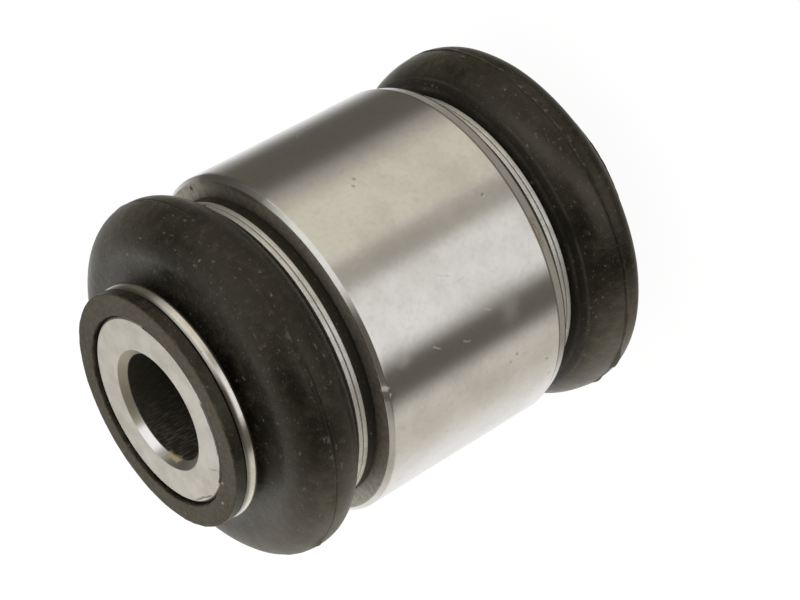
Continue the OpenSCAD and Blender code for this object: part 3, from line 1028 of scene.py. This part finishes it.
def neck_ring_section(side):
    """Section of a neck ring: flat inside, rounded outside with its crest on the boot's side."""
    inner_r = NECK_SEAT_R + SEAT_GAP
    crest_z = neck_ring_z + NECK_RING_CREST
    outside = arc((neck_ring_r - CREST_NEAR_DEPTH, crest_z), CREST_NEAR_DEPTH, NECK_RING_CREST, 180, 90, 10)
    outside += arc((neck_ring_r - CREST_FAR_DEPTH, crest_z), CREST_FAR_DEPTH,
                   neck_ring_end_z - crest_z, 90, 0, 24)[1:]
    section = [(inner_r, neck_ring_end_z), (inner_r, neck_ring_z)] + outside
    return [(r, side * z) for r, z in section]


steel = turned_steel()
sleeve_steel = faced_steel()
rubber = moulded_rubber()
flat_wire = spring_wire("flat_wire", FLAT_WIRE_CLEAN, FLAT_WIRE_WORN, FLAT_WIRE_ROUGH)
round_wire = spring_wire("round_wire", ROUND_WIRE_CLEAN, ROUND_WIRE_WORN, ROUND_WIRE_ROUGH)

housing = lathe("turned_outer_sleeve", outer_sleeve_section(), steel, nicked)
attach(housing, "housing")
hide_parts("outer_sleeve")

sleeve = lathe("faced_ball_sleeve", ball_sleeve_section(), sleeve_steel)
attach(sleeve, "ball_sleeve")
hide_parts("ball_sleeve")

# Side, crown radius and height, turn of the flank, depth and height of the fold, shift of the bulge and
# of the end lip off the bore, heights of the flank's creases
BOOTS = {
    "front": (1, 23.32, 22.04, 0.39, 5.41, 26.74, (-0.07, 0.28), (0.0, 0.1), ()),
    "rear": (-1, 23.80, 23.54, 0.19, 3.87, 26.54, (-0.37, -0.07), (0.0, 0.0), CREASES),
}
for end, (side, *shape) in BOOTS.items():
    boot = make_boot(f"moulded_{end}_boot", side, *shape)
    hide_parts(f"{end}_boot")
    clamp = make_clamp_ring(f"wound_{end}_clamp_ring", side)
    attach(clamp, "housing")
    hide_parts(f"{end}_clamp_ring")
    neck = lathe(f"rounded_{end}_neck_ring", neck_ring_section(side), round_wire)
    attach(neck, "boot_necks")
    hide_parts(f"{end}_neck_ring")

for node, material in (("bearing_shell", bearing_plastic()), ("closing_ring", ring_steel())):
    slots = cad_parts[node].data.materials
    slots.clear()
    slots.append(material)


# Studio

WHITE = (1, 1, 1, 1)
SOFT_LIGHT = (0.95, 0.93, 0.90, 1)
CARD_CREAM = (0.82, 0.78, 0.68, 1)
CARD_PEARL = (0.70, 0.67, 0.60, 1)
CARD_GREY = (0.48, 0.46, 0.41, 1)
CARD_DARK = (0.13, 0.12, 0.10, 1)
FLOOR_GREY = (0.36, 0.34, 0.30, 1)

# Cards in front of the white background, seen only in reflections: first and last angle round from the
# camera, softness of the edges in degrees, colour
LOW_CARDS = [
    (-120, -70, 24, CARD_PEARL),
    (-74, -43, 9, CARD_DARK),
    (5, 28, 7, CARD_GREY),
    (26, 84, 8, CARD_CREAM),
    (81, 150, 19, CARD_DARK),
]
HIGH_CARDS = [
    (-150, -90, 30, CARD_GREY),
    (-90, 2, 20, CARD_DARK),
    (88, 168, 18, CARD_DARK),
]
# Rise of a direction, as a sine, over which the low cards give way to the high ones and to the floor
HIGH_RISE = (0.0, 0.5)
FLOOR_RISE = (-0.58, -0.74)
# Direction of the softbox overhead, and the cosines between which its edge fades in
SOFTBOX_AIM = (0.27, 0.155, 0.95)
SOFTBOX_EDGE = (0.88, 0.96)


def surround(g, turn, cards):
    """The background with its cards, by the angle round from the camera."""
    colour = WHITE
    for start, end, edge, card in cards:
        rise = g.span(turn, start - edge, start + edge)
        fall = g.span(turn, end + edge, end - edge)
        colour = g.mix(g.times(rise, fall), colour, card)
    return colour


def studio_world():
    """White to the camera; cards, a softbox and a floor to reflections; a plain soft light to all else."""
    world = bpy.data.worlds.new("studio")
    bpy.context.scene.world = world
    world.use_nodes = True
    g = Graph(world.node_tree)
    direction = g.node("ShaderNodeTexCoord").outputs["Generated"]
    x, y, z = g.split(direction)
    turn = g.math("DEGREES", g.math("ARCTAN2", x, g.times(y, -1.0)))
    shown = g.mix(g.span(z, *HIGH_RISE), surround(g, turn, LOW_CARDS), surround(g, turn, HIGH_CARDS))
    shown = g.mix(g.span(z, *FLOOR_RISE), shown, FLOOR_GREY)
    overhead = g.span(g.vector("DOT_PRODUCT", direction, SOFTBOX_AIM), *SOFTBOX_EDGE)
    shown = g.mix(overhead, shown, WHITE)
    path = g.node("ShaderNodeLightPath").outputs
    mirrored = g.highest([path["Is Glossy Ray"], path["Is Transmission Ray"]])
    colour = g.mix(mirrored, SOFT_LIGHT, shown)
    colour = g.mix(path["Is Camera Ray"], colour, WHITE)
    g.feed(g.tree.nodes["Background"].inputs["Color"], colour)
    g.feed(g.tree.nodes["Background"].inputs["Strength"], 1.0)


# The floor leaves room under the part, so that the lower lip stays above it when the sleeve tilts
FLOOR_R = 600
FLOOR_SIDES = 96
FLOOR_ROOM = 2.3
FLOOR_GLOW = 0.95
FLOOR_PALE = (0.80, 0.80, 0.79, 1)
FLOOR_PALER = (0.83, 0.83, 0.82, 1)
FLOOR_SHADE = (0.08, 0.08, 0.08, 1)


def studio_floor():
    """A pale floor that shows white to the camera and keeps a soft shadow."""
    material = bpy.data.materials.new("pale_floor")
    material.use_nodes = True
    g = Graph(material.node_tree)
    g.tree.nodes.remove(g.tree.nodes["Principled BSDF"])
    place = g.node("ShaderNodeTexCoord").outputs["Object"]
    pale = g.mix(g.noise(place, 30.0), FLOOR_PALE, FLOOR_PALER)
    matte = g.node("ShaderNodeBsdfDiffuse", {"Color": pale}).outputs[0]
    thin = g.node("ShaderNodeBsdfDiffuse", {"Color": FLOOR_SHADE}).outputs[0]
    glow = g.node("ShaderNodeEmission", {"Color": WHITE, "Strength": FLOOR_GLOW}).outputs[0]
    shown = g.node("ShaderNodeAddShader", {0: glow, 1: thin}).outputs[0]
    seen = g.node("ShaderNodeLightPath").outputs["Is Camera Ray"]
    both = g.node("ShaderNodeMixShader", {0: seen, 1: matte, 2: shown}).outputs[0]
    g.feed(g.tree.nodes["Material Output"].inputs["Surface"], both)
    turns = [2 * math.pi * i / FLOOR_SIDES for i in range(FLOOR_SIDES)]
    ring = [around(FLOOR_R, -boot_end_z - FLOOR_ROOM, turn) for turn in turns]
    floor = make_piece("floor", ring, [tuple(range(FLOOR_SIDES))], material)
    floor.visible_glossy = False


# Camera: places and sensor in millimetres, roll in degrees, nearest distance in metres
CAMERA_PLACE = (0.0, -259.43, 143.51)
CAMERA_TARGET = (-2.76, -2.10, -3.63)
CAMERA_ROLL = -119.65
CAMERA_LENS = 108
CAMERA_SENSOR = 36
CAMERA_NEAR = 0.01


def photo_camera():
    """The camera of the photograph, turned so that the bore points down to the left."""
    data = bpy.data.cameras.new("camera")
    data.lens = CAMERA_LENS
    data.sensor_width = CAMERA_SENSOR
    data.clip_start = CAMERA_NEAR
    camera = bpy.data.objects.new("camera", data)
    bpy.context.scene.collection.objects.link(camera)
    sight = Vector(CAMERA_TARGET) - Vector(CAMERA_PLACE)
    facing = sight.to_track_quat("-Z", "Y").to_matrix()
    roll = Matrix.Rotation(math.radians(CAMERA_ROLL), 3, "Z")
    camera.matrix_world = Matrix.Translation(Vector(CAMERA_PLACE) * MM) @ (facing @ roll).to_4x4()
    bpy.context.scene.camera = camera


studio_world()
studio_floor()
photo_camera()
bpy.context.scene.view_settings.view_transform = "Standard"
